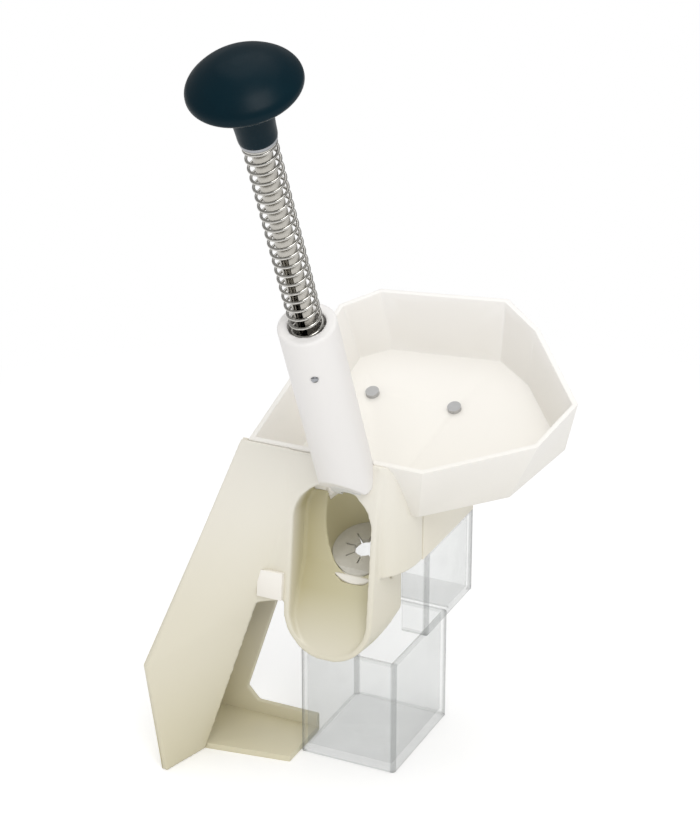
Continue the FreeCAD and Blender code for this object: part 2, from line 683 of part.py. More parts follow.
guard_block = shell_box("guard_block", "dims.housing_half", "dims.guard_front", "dims.housing_back",
                        LIP_Z, "dims.housing_bottom")
GUARD_INNER = "dims.housing_half - dims.guard_wall"
CONTAINER_BACK = "dims.container_depth / 2 + dims.foot_gap"
guard_space = shell_box("guard_space", GUARD_INNER, "dims.guard_front + dims.guard_wall",
                        "dims.housing_back - dims.guard_wall", "%s + dims.guard_wall" % LIP_Z,
                        "dims.housing_bottom + dims.guard_wall")
guard_throat = shell_box("guard_throat", GUARD_INNER, "dims.guard_front + dims.guard_wall",
                         CONTAINER_BACK, "%s - dims.guard_wall" % LIP_Z, "dims.housing_bottom")
guard_gap = shell_box("guard_gap", "dims.guard_gap_half", "dims.guard_front - dims.guard_wall",
                      CONTAINER_BACK, "%s - dims.guard_wall" % LIP_Z, "dims.housing_bottom + dims.guard_wall")
finish_node(cut("guard_cut", guard_block, [guard_space, guard_throat, guard_gap]), "splash_guard")


# Pit container: an open box with rounded corners

container = doc.addObject("PartDesign::Body", "container_body")
HALF_WIDE = "dims.container_width / 2"
HALF_DEEP = "dims.container_depth / 2"
container_corners = [("-" + HALF_WIDE, "-" + HALF_DEEP), (HALF_WIDE, "-" + HALF_DEEP),
                     (HALF_WIDE, HALF_DEEP), ("-" + HALF_WIDE, HALF_DEEP)]
container_pad = pad(container, "container_pad", profile(container, "container_plan", container_corners),
                    "dims.container_height")
doc.recompute()


def upright_edges(shape, height):
    """Names of a shape's vertical edges of one height."""
    names = []
    for index, edge in enumerate(shape.Edges, start=1):
        bounds = edge.BoundBox
        if bounds.XLength < 0.01 and bounds.YLength < 0.01 and abs(bounds.ZLength - height) < 0.01:
            names.append("Edge%d" % index)
    return names


container_corner = container.newObject("PartDesign::Fillet", "container_corner")
container_corner.Base = (container_pad, upright_edges(container_pad.Shape, worth("container_height")))
container_corner.setExpression("Radius", "dims.container_round")
INSIDE_WIDE = "(dims.container_width / 2 - dims.container_wall)"
INSIDE_DEEP = "(dims.container_depth / 2 - dims.container_wall)"
inside_corners = [("-" + INSIDE_WIDE, "-" + INSIDE_DEEP), (INSIDE_WIDE, "-" + INSIDE_DEEP),
                  (INSIDE_WIDE, INSIDE_DEEP), ("-" + INSIDE_WIDE, INSIDE_DEEP)]
inside_plan = profile(container, "inside_plan", inside_corners)
inside_plan.setExpression(".AttachmentOffset.Base.z", "dims.container_base")
pocket(container, "container_space", inside_plan, "dims.container_height - dims.container_base", reverse=True)
stand(container)
finish_node(container, "pit_container")


# Front panel: folded sheet from the rim down to the toe, and the flat wall beside the head

def across(first, second, reach):
    """Horizontal step of a given length, square to an edge and away from the front."""
    run = second - first
    step = Vector(-run.y, run.x, 0)
    return step.normalize() * reach


def slab_section(left, right, reach):
    step = across(left, right, reach)
    return polygon([left, right, right + step, left + step])


top_z = worth("front_z")
crease_z = worth("crease_low_z")
panel_left_top = Vector(worth("panel_left"), worth("front_y"), top_z)
crease_top_point = Vector(worth("crease_top"), worth("front_y"), top_z)
knee = Vector(worth("knee_x"), worth("knee_y"), worth("knee_z"))
crease_low = Vector(worth("crease_low_x"), face_y(crease_z), crease_z)
toe = Vector(worth("toe_x"), worth("toe_y"), 0)
heel = Vector(worth("heel_x"), worth("heel_y"), 0)
sheet_reach = worth("panel_thickness")
leg_sheet = solid_loft([slab_section(panel_left_top, crease_top_point, sheet_reach),
                        slab_section(knee, crease_low, sheet_reach),
                        slab_section(toe, heel, sheet_reach)])
head_left = worth(HEAD_LEFT)
panel_low = worth("panel_low_z")


def on_face(x, z):
    return Vector(x, face_y(z), z)


lap = worth("panel_thickness")
wall_outline = polygon([on_face(worth("crease_top") - lap, top_z), on_face(crease_low.x - lap, crease_z),
                        crease_low, on_face(head_left, panel_low), on_face(worth("chute_x"), panel_low),
                        on_face(worth("chute_x"), top_z)])
flat_wall = outward(Part.Face(wall_outline).extrude(Vector(0, sheet_reach, 0)))
panel_form = doc.addObject("Part::Feature", "panel_form")
panel_form.Shape = leg_sheet.fuse(flat_wall).removeSplitter()
hopper_side = lean_with_tube(box("hopper_side", WIDE, WIDE, WIDE), x="-(%s) / 2" % WIDE,
                             v="dims.hopper_front", w="-(%s) / 2" % WIDE)
beside_head = stand(box("beside_head", WIDE, WIDE, WIDE), x=HEAD_LEFT, y="-(%s) / 2" % WIDE)
finish_node(cut("front_panel_cut", panel_form, [beside_head, hopper_side]), "front_panel")

bar = lean_with_face(
    box("bar_block", "%s - dims.bar_left" % HEAD_LEFT, "dims.bar_proud", "dims.bar_height"),
    x="dims.bar_left", a="-dims.bar_proud", b="(dims.bar_bottom - dims.front_z) / cos(dims.lean)")
finish_node(cut("bar_cut", bar, [panel_form]), "panel_bar")


# Rear panel, the wall that closes the leg, and the foot plate

RIGHT_END = "-(dims.container_width / 2 + dims.foot_gap)"
rear = doc.addObject("PartDesign::Body", "rear_body")
rear_corners = [("dims.rear_left", "0"), (RIGHT_END, "0"), (RIGHT_END, "dims.rear_foot_height"),
                ("dims.rear_foot_left", "dims.rear_foot_height"), ("dims.rear_knee_x", "dims.rear_knee_z"),
                (HEAD_LEFT, "dims.rear_notch_z"), (HEAD_LEFT, "dims.rear_top_z"),
                ("dims.rear_top_left", "dims.rear_top_z")]
pad(rear, "rear_pad", profile(rear, "rear_outline", rear_corners, "XZ_Plane"), "dims.rear_thickness")
stand(rear, y="dims.rear_y + dims.rear_thickness")
finish_node(rear, "rear_panel")


def rear_edge(z):
    """Point on the left edge of the rear panel, halfway through its thickness."""
    share = z / worth("rear_top_z")
    x = worth("rear_left") + (worth("rear_top_left") - worth("rear_left")) * share
    return Vector(x, worth("rear_y") + worth("rear_thickness") / 2, z)


def leg_section(left, right, rear_z):
    start = left + across(left, right, sheet_reach)
    return slab_section(start, rear_edge(rear_z), -worth("side_wall"))


side_sheet = solid_loft([leg_section(panel_left_top, crease_top_point, worth("rear_top_z")),
                         leg_section(knee, crease_low, knee.z),
                         leg_section(toe, heel, 0)])
side_form = doc.addObject("Part::Feature", "side_form")
side_form.Shape = side_sheet
behind_rear = stand(box("behind_rear", WIDE, WIDE, WIDE), x="-(%s) / 2" % WIDE, y="dims.rear_y")
finish_node(cut("side_cut", cut("side_trimmed", side_form, [behind_rear]), [panel_form]), "leg_side_wall")

foot = doc.addObject("PartDesign::Body", "foot_body")
foot_corners = [("dims.heel_x", "dims.heel_y"), (RIGHT_END, "dims.foot_front_y"), (RIGHT_END, "dims.rear_y"),
                ("dims.rear_left + dims.side_wall / 2", "dims.rear_y"), ("dims.toe_x", "dims.heel_y")]
pad(foot, "foot_pad", profile(foot, "foot_outline", foot_corners), "dims.foot_thickness")
pads = []
for name, x in (("outer", "dims.rear_foot_left"), ("inner", "%s - 2 * dims.pad_radius" % RIGHT_END)):
    disc = cylinder(name + "_pad", "dims.pad_radius", "dims.pad_thickness")
    pads.append(stand(disc, x=x, y="(dims.foot_front_y + dims.rear_y) / 2"))
foot_pads = fuse("foot_pads", pads)
finish_node(cut("foot_cut", foot, [panel_form, side_form, foot_pads]), "foot_plate")
finish_node(foot_pads, "anti_slip_pads")


# Checks and files

doc.recompute()
for obj in doc.Objects:
    if "Invalid" in obj.State or "Error" in obj.State:
        raise ValueError("%s did not build" % obj.Name)
for node in nodes:
    if node.Shape.isNull() or not node.Shape.isValid():
        raise ValueError("%s has no valid shape" % node.Label)

os.makedirs("parts", exist_ok=True)
for node in nodes:
    node.Shape.exportStep("parts/%s.step" % node.Label)
    bounds = node.Shape.BoundBox
    print("%-16s solids %d volume %9.1f  x %7.1f %7.1f  y %7.1f %7.1f  z %7.1f %7.1f" % (
        node.Label, len(node.Shape.Solids), node.Shape.Volume, bounds.XMin, bounds.XMax,
        bounds.YMin, bounds.YMax, bounds.ZMin, bounds.ZMax))
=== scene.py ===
"""Looks of a counter-top cherry pitter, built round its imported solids.

Metres, in the frame of the solids: X to the right, Y to the back, Z up. The plunger
leans towards the front by TILT, and every piece on it is turned about its axis.
"""
import json
import math

import bmesh
import bpy
from mathutils import Matrix, Vector


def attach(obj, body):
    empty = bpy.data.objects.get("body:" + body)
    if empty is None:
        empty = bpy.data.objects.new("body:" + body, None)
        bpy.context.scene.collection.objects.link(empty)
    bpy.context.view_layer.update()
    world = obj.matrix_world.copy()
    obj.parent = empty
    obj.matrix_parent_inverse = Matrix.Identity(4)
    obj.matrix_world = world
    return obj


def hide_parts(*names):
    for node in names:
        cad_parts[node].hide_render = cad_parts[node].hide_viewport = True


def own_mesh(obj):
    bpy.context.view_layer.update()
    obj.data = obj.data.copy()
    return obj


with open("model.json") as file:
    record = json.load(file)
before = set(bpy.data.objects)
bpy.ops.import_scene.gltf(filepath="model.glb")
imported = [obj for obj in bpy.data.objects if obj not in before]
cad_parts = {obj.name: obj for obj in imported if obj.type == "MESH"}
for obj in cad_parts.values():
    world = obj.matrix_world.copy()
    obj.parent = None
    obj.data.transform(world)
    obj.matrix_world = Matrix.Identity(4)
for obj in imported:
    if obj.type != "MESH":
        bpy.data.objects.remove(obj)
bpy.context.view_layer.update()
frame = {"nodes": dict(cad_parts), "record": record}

MM = 0.001
# Cutters reach this far past what they cut, or two or three times as far
FAR = 0.1

# Plunger axis

TILT = math.radians(24)
AXIS_FOOT = Vector((0, -24.5, 121.5)) * MM
LEAN = Matrix.Translation(AXIS_FOOT) @ Matrix.Rotation(TILT, 4, "X")

# Spring, along the axis from the foot of the tube; the pitch of its end turns is in wire radii

SPRING_FOOT = 69 * MM
SPRING_TOP = 167.5 * MM
SPRING_RADIUS = 5.7 * MM
SPRING_WIRE = 0.55 * MM
SPRING_TURNS = 25
SPRING_END_TURNS = 1.25
SPRING_END_PITCH = 2.1
STEPS_PER_TURN = 28
WIRE_SIDES = 12

# Knob, along the same axis; its side is given as radius and height in millimetres

KNOB_FOOT = 168.5 * MM
KNOB_BORE = 5.2 * MM
KNOB_BORE_DEPTH = 19.5 * MM
KNOB_SIDE = [
    (6.1, 168.5), (6.75, 169.0), (7.0, 173.5), (7.5, 179.5), (8.3, 184.5), (10.2, 187.4),
    (14.5, 188.0), (18.2, 188.4), (19.5, 189.4), (19.75, 190.7), (19.3, 192.3), (17.7, 194.3),
    (14.0, 197.2), (8.6, 199.7), (3.2, 200.8), (0.0, 201.0),
]

# Head: its front leans back by FRONT_LEAN through the rim at FRONT_TOP

FRONT_LEAN = math.tan(math.radians(6.6))
FRONT_TOP = (-25 * MM, 130 * MM)
HEAD_RIGHT = 13.3 * MM
HOPPER_FRONT = 4 * MM
HOPPER_FLOOR = -18 * MM
HOPPER_SINK = 1 * MM
ARCH_CENTRE = (-5.3 * MM, 103.2 * MM)
ARCH_RADIUS = 16.2 * MM
ARCH_CUT_AHEAD = 2 * MM
CHUTE_DEPTH = 11.5 * MM
BORE_RADIUS = 12.9 * MM
BORE_SPAN = (-42 * MM, -2.4 * MM)
ROD_WAY = 3.9 * MM
ROD_WAY_SPAN = (-42 * MM, 16 * MM)
HOOD_REACH = 7 * MM
HOOD_SPAN = (-11.6 * MM, 11.6 * MM)
HOOD_LOW = 108 * MM
HOOD_BACK = -6 * MM
RIM_RADIUS = 18.6 * MM
RIM_LOW = 88 * MM
RIM_HIGH = 122 * MM
RIM_DEPTH = 3.2 * MM
RIM_CUT_AHEAD = 5 * MM
LOW_CUT_AHEAD = 10 * MM
SHOULDER_LOW = 84 * MM
# X and Y in millimetres
SHOULDER_PLAN = [
    (11.2, -24.6), (13.2, -25.6), (15.6, -24.9), (18.4, -21.6), (20.6, -16.4), (21.8, -10.0),
    (22.0, -3.9), (11.2, -3.9),
]

# Foot of the tube, cut on a slant where it meets the head, and the turn of its stop pin

FOOT_FRONT = Vector((0, -37.0, 125.4)) * MM
FOOT_BACK = Vector((0, -25.5, 117.0)) * MM
FOOT_CUT_SPAN = (-60 * MM, -12 * MM)
PIN_TURN = math.radians(22)

# Edge rounding

SOFT_EDGE = 0.7 * MM
FINE_EDGE = 0.3 * MM
EDGE_SEGMENTS = 3
EDGE_ANGLE = math.radians(28)

# Meshes

VOXEL = 0.65 * MM
FINE_VOXEL = 0.5 * MM
MERGE_GAP = MM / 500
LATHE_GAP = MM / 1000
FLAT_ANGLE = math.radians(0.5)
ARCH_STEPS = 72
LATHE_STEPS = 96
CURVE_STEPS = 12

# Where the painted shade on the head changes: from the first value to the second

HEAD_SHADE = (0, 125 * MM)
CHUTE_SHADE = (-20 * MM, 4 * MM)
CHUTE_RIGHT_EDGE = (11.8 * MM, 10.6 * MM)
CHUTE_LEFT_EDGE = (-22.4 * MM, -21.2 * MM)
CHUTE_FRONT_EDGE = (0.5 * MM, 8 * MM)

# Painted dark bands for the light bent in clear plastic, which are at their darkest from BAND_CORE
# of their depth outwards

CORNER_BAND = 2.2 * MM
LIP_BAND = 1.1 * MM
LIP_SHARE = 0.45
BAND_CORE = 0.6

# How much of clear plastic can be seen: on its faces, where they turn away, in haze and in bands

SEEN_FACE = 0.03
SEEN_TURNED = 0.5
SEEN_HAZE = 0.05
SEEN_BAND = 0.36
TURNED_POWER = 2.5

# Colour sockets of the mix node

MIX_FIRST = 6
MIX_SECOND = 7
MIX_RESULT = 2

# Camera

CAMERA_PLACE = Vector((376.36, -815.41, 538.34)) * MM
CAMERA_DIP = math.radians(24.1)
CAMERA_TURN = math.radians(25.4)
CAMERA_LENS = 133.71
SENSOR = 36

# Stage: lamps are given as name, place, side and power

FLOOR_SIZE = 6.0
FLOOR_COLOUR = (0.94, 0.94, 0.94, 1)
FLOOR_GLOW = 0.19
SHADOW_REACH = (0.16, 0.42)
WORLD_LIGHT = 0.70
WORLD_DIM = 0.3
LAMP_AIM = Vector((0, 0, 0.12))
LAMPS = (("key", (0.55, -0.75, 1.15), 0.7, 6.5), ("top", (-0.2, 0.2, 1.3), 0.9, 2.5))

HEAD_NODES = ("pitting_head", "pitting_chamber", "front_panel")
NODE_BODY = {node: body for body, nodes in frame["record"]["behaviour"]["bodies"].items()
             for node in nodes}
NODE_SLOT = {row["node"]: row["material_slot"] for row in frame["record"]["subparts"]}


# Shader building

class Number:
    """Number socket of a material that takes part in arithmetic."""

    def __init__(self, finish, socket):
        self.finish = finish
        self.socket = socket

    def math(self, operation, *values):
        inputs = dict(enumerate(values))
        node = self.finish.node("ShaderNodeMath", {"operation": operation}, inputs)
        return Number(self.finish, node.outputs[0])

    def __add__(self, other):
        return self.math("ADD", self, other)

    def __radd__(self, other):
        return self.math("ADD", other, self)

    def __sub__(self, other):
        return self.math("SUBTRACT", self, other)

    def __mul__(self, other):
        return self.math("MULTIPLY", self, other)

    def clamped(self, start, end):
        """0 at start, 1 at end, straight between; start may lie above end."""
        settings = {"clamp": True}
        inputs = {"Value": self, "From Min": start, "From Max": end}
        node = self.finish.node("ShaderNodeMapRange", settings, inputs)
        return Number(self.finish, node.outputs[0])


class Finish:
    """Material with one Principled shader, its maths and its textures."""

    def __init__(self, name, **sockets):
        self.material = bpy.data.materials.new(name)
        self.material.use_nodes = True
        self.tree = self.material.node_tree
        self.shader = self.tree.nodes["Principled BSDF"]
        for socket, value in sockets.items():
            self.shader.inputs[socket.replace("_", " ")].default_value = value
        self.place = self.node("ShaderNodeTexCoord").outputs["Object"]

    def node(self, kind, settings=None, inputs=None):
        """Node of a type, with its settings set before its sockets."""
        node = self.tree.nodes.new(kind)
        for setting, value in (settings or {}).items():
            setattr(node, setting, value)
        for socket, value in (inputs or {}).items():
            self.feed(node.inputs[socket], value)
        return node

    def feed(self, socket, value):
        """Socket linked to another socket, or set to a plain value."""
        if isinstance(value, Number):
            value = value.socket
        if isinstance(value, bpy.types.NodeSocket):
            self.tree.links.new(value, socket)
        else:
            socket.default_value = value

    def along_plunger(self, stretch):
        """Object coordinates turned to the plunger axis and stretched."""
        inputs = {"Vector": self.place, "Rotation": (-TILT, 0, 0), "Scale": stretch}
        return self.node("ShaderNodeMapping", None, inputs).outputs["Vector"]

    def axis_value(self, axis):
        node = self.node("ShaderNodeSeparateXYZ", None, {"Vector": self.place})
        return Number(self, node.outputs[axis])

    def noise(self, scale, detail, roughness=0.5, place=None):
        inputs = {"Vector": place or self.place, "Scale": scale, "Detail": detail,
                  "Roughness": roughness}
        return Number(self, self.node("ShaderNodeTexNoise", None, inputs).outputs["Fac"])

    def blend(self, share, first, second):
        """Colour between two colours or colour sockets."""
        node = self.node("ShaderNodeMix", {"data_type": "RGBA"})
        self.feed(node.inputs["Factor"], share)
        self.feed(node.inputs[MIX_FIRST], first)
        self.feed(node.inputs[MIX_SECOND], second)
        return node.outputs[MIX_RESULT]

    def mixed(self, share, first, second):
        """Shader between two shaders."""
        inputs = {0: share, 1: first, 2: second}
        return self.node("ShaderNodeMixShader", None, inputs).outputs[0]

    def surface(self, socket):
        self.feed(self.tree.nodes["Material Output"].inputs["Surface"], socket)

    def colour(self, socket):
        self.feed(self.shader.inputs["Base Color"], socket)

    def roughness(self, value):
        self.feed(self.shader.inputs["Roughness"], value)

    def bump(self, height, distance, strength):
        inputs = {"Height": height, "Distance": distance, "Strength": strength}
        node = self.node("ShaderNodeBump", None, inputs)
        self.feed(self.shader.inputs["Normal"], node.outputs["Normal"])


def mottle(finish):
    """Faint clouds about zero, which shift the tone of moulded plastic."""
    return (finish.noise(scale=18, detail=3) - 0.5) * 0.25


def moulded_surface(finish, gloss):
    """Uneven gloss and the fine grain that a mould leaves."""
    smear = finish.noise(scale=60, detail=4, roughness=0.6)
    finish.roughness(gloss + smear * 0.14)
    grain = finish.noise(scale=1600, detail=2) + finish.noise(scale=240, detail=2) * 1.6
    finish.bump(grain, distance=0.00002, strength=0.35)


def plastic_with_painted_shade(name, pale, deep, low=0, high=130 * MM, gloss=0.3):
    """Smooth moulded plastic with painted shade: deep at one height and pale at another."""
    finish = Finish(name, IOR=1.5, Coat_Weight=0.12, Coat_Roughness=0.25)
    # Painted shade: deep at the height low, pale at the height high
    height = finish.axis_value("Z").clamped(low, high)
    finish.colour(finish.blend(height + mottle(finish), deep, pale))
    moulded_surface(finish, gloss)
    return finish.material


def head_plastic_painted_shade():
    """The stand's plastic with painted shade: darker towards the bottom, and deeper and yellower
    inside the chute.
    """
    finish = Finish("head_plastic_painted_shade", IOR=1.5, Coat_Weight=0.1, Coat_Roughness=0.25)
    x, y, z = (finish.axis_value(axis) for axis in "XYZ")
    depth = y - z * FRONT_LEAN - (FRONT_TOP[0] - FRONT_TOP[1] * FRONT_LEAN)
    # Painted shade in the recess of the chute, between its side walls and behind its front
    within = x.clamped(*CHUTE_RIGHT_EDGE) * x.clamped(*CHUTE_LEFT_EDGE)
    inside = depth.clamped(*CHUTE_FRONT_EDGE) * within
    height = z.clamped(*HEAD_SHADE) + mottle(finish)
    # Painted shade: darker towards the bottom of the head
    outer_painted_shade = finish.blend(height, (0.66, 0.61, 0.44, 1), (0.82, 0.79, 0.71, 1))
    # Painted shade inside the chute, darker towards its left wall
    chute_shade_across = x.clamped(*CHUTE_SHADE)
    inner = finish.blend(chute_shade_across, (0.53, 0.48, 0.29, 1), (0.60, 0.56, 0.38, 1))
    finish.colour(finish.blend(inside, outer_painted_shade, inner))
    moulded_surface(finish, gloss=0.3)
    return finish.material


def knob_plastic():
    """Dark glossy plastic with a bluish cast and light handling marks."""
    finish = Finish("knob_plastic", IOR=1.5, Specular_IOR_Level=0.12)
    cloud = finish.noise(scale=35, detail=4, roughness=0.6)
    finish.colour(finish.blend(cloud, (0.0006, 0.009, 0.015, 1), (0.0014, 0.018, 0.028, 1)))
    marks = finish.noise(scale=220, detail=5, roughness=0.65)
    finish.roughness(0.28 + marks * 0.14)
    finish.bump(finish.noise(scale=900, detail=2), distance=0.00002, strength=0.3)
    return finish.material


def drawn_steel(name, pale, deep, gloss=0.18):
    """Steel turned about the plunger axis: fine lines round it and a few darker patches."""
    finish = Finish(name, Metallic=1.0)
    along = finish.along_plunger(stretch=(1, 1, 14))
    lines = finish.noise(scale=260, detail=4, roughness=0.6, place=along)
    patches = finish.noise(scale=70, detail=3)
    finish.colour(finish.blend(lines * 0.6 + patches * 0.4, deep, pale))
    finish.roughness(gloss + lines * 0.16)
    finish.bump(lines, distance=0.00001, strength=0.3)
    return finish.material


def bright_wire():
    """Bright round spring wire."""
    finish = Finish("spring_wire", Metallic=1.0)
    specks = finish.noise(scale=900, detail=3)
    finish.colour(finish.blend(specks, (0.50, 0.49, 0.46, 1), (0.74, 0.72, 0.68, 1)))
    finish.roughness(0.14 + specks * 0.12)
    return finish.material


def clear_plastic(name, low, high):
    """Clear moulded plastic of a box-shaped piece that spans low to high.

    Its faces are see-through and go grey where they turn away, a painted stand-in for the light
    they reflect and bend there. Darker bands are painted shade for the bent light in its upright
    corners and along its upper and lower edges.
    """
    finish = Finish(name, IOR=1.45)
    haze = finish.noise(scale=90, detail=4, roughness=0.6)
    bands = []
    for axis, start, end in zip("XYZ", low, high):
        place = finish.axis_value(axis)
        depth = LIP_BAND if axis == "Z" else CORNER_BAND
        core = depth * BAND_CORE
        first = place.clamped(start + depth, start + core)
        last = place.clamped(end - depth, end - core)
        bands.append(first + last)
    # Painted shade in the upright corners and along the upper and lower edges, for light bent there
    edges = bands[0] * bands[1] + bands[2] * LIP_SHARE
    dark = edges.math("MINIMUM", edges, 1.0)
    finish.colour(finish.blend(dark + haze * 0.1, (0.66, 0.67, 0.66, 1), (0.20, 0.21, 0.21, 1)))
    finish.roughness(0.05 + haze.clamped(0.4, 0.8) * 0.08)
    finish.bump(finish.noise(scale=45, detail=2), distance=0.0001, strength=0.15)
    through = finish.node("ShaderNodeBsdfTransparent", None, {"Color": (0.982, 0.985, 0.984, 1)})
    weight = finish.node("ShaderNodeLayerWeight", None, {"Blend": 0.35})
    edge = Number(finish, weight.outputs["Facing"])
    # Painted grey where the faces turn away, for the light they reflect and bend
    turned = edge.math("POWER", edge, TURNED_POWER) * SEEN_TURNED
    share = SEEN_FACE + turned + haze.clamped(0.5, 0.9) * SEEN_HAZE + dark * SEEN_BAND
    finish.surface(finish.mixed(share, through.outputs[0], finish.shader.outputs[0]))
    return finish.material


def soft_rubber(name, pale, deep):
    """Dull rubber with an even grain."""
    finish = Finish(name, IOR=1.5)
    grain = finish.noise(scale=500, detail=4, roughness=0.6)
    finish.colour(finish.blend(grain, deep, pale))
    finish.roughness(0.55 + grain * 0.25)
    finish.bump(grain, distance=0.00004, strength=0.4)
    return finish.material


def turned_brass():
    """Brass with rings left by turning."""
    finish = Finish("turned_brass", Metallic=1.0)
    along = finish.along_plunger(stretch=(0.2, 0.2, 6))
    rings = finish.noise(scale=400, detail=3, place=along)
    finish.colour(finish.blend(rings, (0.42, 0.29, 0.10, 1), (0.66, 0.50, 0.22, 1)))
    finish.roughness(0.25 + rings * 0.2)
    return finish.material


FINISHES = {
    # The pale and deep colours of these moulded plastics are painted shade, darker towards the
    # bottom of each piece
    "stand_plastic": plastic_with_painted_shade(
        "stand_plastic", pale=(0.84, 0.80, 0.71, 1), deep=(0.72, 0.67, 0.49, 1)),
    "hopper_plastic": plastic_with_painted_shade(
        "hopper_plastic", pale=(0.93, 0.91, 0.88, 1), deep=(0.84, 0.81, 0.74, 1),
        low=105 * MM, high=165 * MM),
    "tube_plastic": plastic_with_painted_shade(
        "tube_plastic", pale=(0.87, 0.85, 0.83, 1), deep=(0.84, 0.82, 0.80, 1),
        low=115 * MM, high=200 * MM),
    "bush_plastic": plastic_with_painted_shade(
        "bush_plastic", pale=(0.78, 0.78, 0.76, 1), deep=(0.70, 0.70, 0.68, 1),
        low=100 * MM, high=200 * MM, gloss=0.45),
    "knob_plastic": knob_plastic(),
    "rod_steel": drawn_steel(
        "rod_steel", pale=(0.66, 0.64, 0.59, 1), deep=(0.42, 0.40, 0.36, 1)),
    "spring_steel": bright_wire(),
    "blade_steel": drawn_steel(
        "blade_steel", pale=(0.62, 0.62, 0.61, 1), deep=(0.40, 0.40, 0.40, 1), gloss=0.25),
    "pin_steel": drawn_steel(
        "pin_steel", pale=(0.52, 0.53, 0.55, 1), deep=(0.30, 0.31, 0.33, 1), gloss=0.22),
    "screw_steel": drawn_steel(
        "screw_steel", pale=(0.58, 0.58, 0.58, 1), deep=(0.38, 0.38, 0.38, 1), gloss=0.28),
    "insert_brass": turned_brass(),
    "seat_rubber": soft_rubber(
        "seat_rubber", pale=(0.62, 0.60, 0.54, 1), deep=(0.48, 0.46, 0.40, 1)),
    "pad_rubber": soft_rubber(
        "pad_rubber", pale=(0.12, 0.12, 0.12, 1), deep=(0.05, 0.05, 0.05, 1)),
    "clear_plastic": clear_plastic(
        "container_clear", low=(-20.2 * MM, -25.3 * MM, 0),
        high=(20.2 * MM, 25.3 * MM, 47.8 * MM)),
}
# Painted light and shade on the panel bar: paler than the stand, as if lit, and darker towards its
# lower edge
BAR_PAINTED_LIGHT_AND_SHADE = plastic_with_painted_shade(
    "bar_painted_light_and_shade", pale=(0.92, 0.89, 0.83, 1), deep=(0.84, 0.80, 0.72, 1),
    low=60 * MM, high=80 * MM)
GUARD_CLEAR = clear_plastic(
    "guard_clear", low=(-22 * MM, 0.7 * MM, 48.3 * MM), high=(22 * MM, 45 * MM, 84 * MM))


# Pieces

def new_piece(name, mesh, node, smooth_angle=40):
    """Object for a mesh that stands for a node, with that node's body, slot and finish."""
    piece = bpy.data.objects.new(name, mesh)
    bpy.context.scene.collection.objects.link(piece)
    mesh.materials.clear()
    mesh.materials.append(FINISHES[NODE_SLOT[node]])
    mesh.shade_smooth()
    mesh.set_sharp_from_angle(angle=math.radians(smooth_angle))
    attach(piece, NODE_BODY[node])
    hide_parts(node)
    return piece


def work_object(name, mesh):
    """Object that only serves to make a mesh."""
    obj = bpy.data.objects.new(name, mesh)
    bpy.context.scene.collection.objects.link(obj)
    return obj


def baked(obj):
    """Mesh of an object with its modifiers applied; the object goes."""
    bpy.context.view_layer.update()
    graph = bpy.context.evaluated_depsgraph_get()
    mesh = bpy.data.meshes.new_from_object(obj.evaluated_get(graph))
    bpy.data.objects.remove(obj)
    return mesh


def merged_copy(node, flatten=False):
    """Copy of a node's mesh with its corners merged and, if asked, its flat faces joined."""
    mesh = frame["nodes"][node].data.copy()
    shape = bmesh.new()
    shape.from_mesh(mesh)
    bmesh.ops.remove_doubles(shape, verts=shape.verts, dist=MERGE_GAP)
    if flatten:
        bmesh.ops.dissolve_degenerate(shape, edges=shape.edges, dist=MERGE_GAP)
        bmesh.ops.dissolve_limit(shape, angle_limit=FLAT_ANGLE, verts=shape.verts,
                                 edges=shape.edges)
    shape.to_mesh(mesh)
    shape.free()
    return mesh


def rounded_copy(node, radius):
    """Copy of a node's mesh with its edges rounded."""
    obj = work_object(node + "_work", merged_copy(node, flatten=True))
    bevel = obj.modifiers.new("edges", "BEVEL")
    bevel.width = radius
    bevel.segments = EDGE_SEGMENTS
    bevel.limit_method = "ANGLE"
    bevel.angle_limit = EDGE_ANGLE
    bevel.use_clamp_overlap = True
    bevel.harden_normals = False
    bevel.miter_outer = "MITER_ARC"
    return baked(obj)


def prism(outline, low, high, axis="Z"):
    """Closed straight block over an outline, along Z or along Y."""
    mesh = bpy.data.meshes.new("prism")
    shape = bmesh.new()
    ends = []
    for level in (low, high):
        corners = [(a, b, level) if axis == "Z" else (a, level, b) for a, b in outline]
        ends.append([shape.verts.new(corner) for corner in corners])
    shape.faces.new(ends[0])
    shape.faces.new(ends[1])
    for i in range(len(outline)):
        j = (i + 1) % len(outline)
        shape.faces.new((ends[0][i], ends[0][j], ends[1][j], ends[1][i]))
    bmesh.ops.recalc_face_normals(shape, faces=shape.faces)
    shape.to_mesh(mesh)
    shape.free()
    return mesh


def circle(centre, radius, steps):
    """Points round a circle."""
    turns = [2 * math.pi * i / steps for i in range(steps)]
    return [(centre[0] + radius * math.cos(turn), centre[1] + radius * math.sin(turn))
            for turn in turns]


def moved_ahead(mesh, way):
    """The same mesh, moved towards the front."""
    mesh.transform(Matrix.Translation((0, -way, 0)))
    return mesh


def carved(mesh, cutters, operation="DIFFERENCE"):
    """Mesh with other meshes cut from it or added to it."""
    obj = work_object("carved", mesh)
    tools = []
    for cutter in cutters:
        tool = work_object("cutter", cutter)
        step = obj.modifiers.new("carve", "BOOLEAN")
        step.operation = operation
        step.solver = "EXACT"
        step.object = tool
        tools.append(tool)
    result = baked(obj)
    for tool in tools:
        bpy.data.objects.remove(tool)
    return result


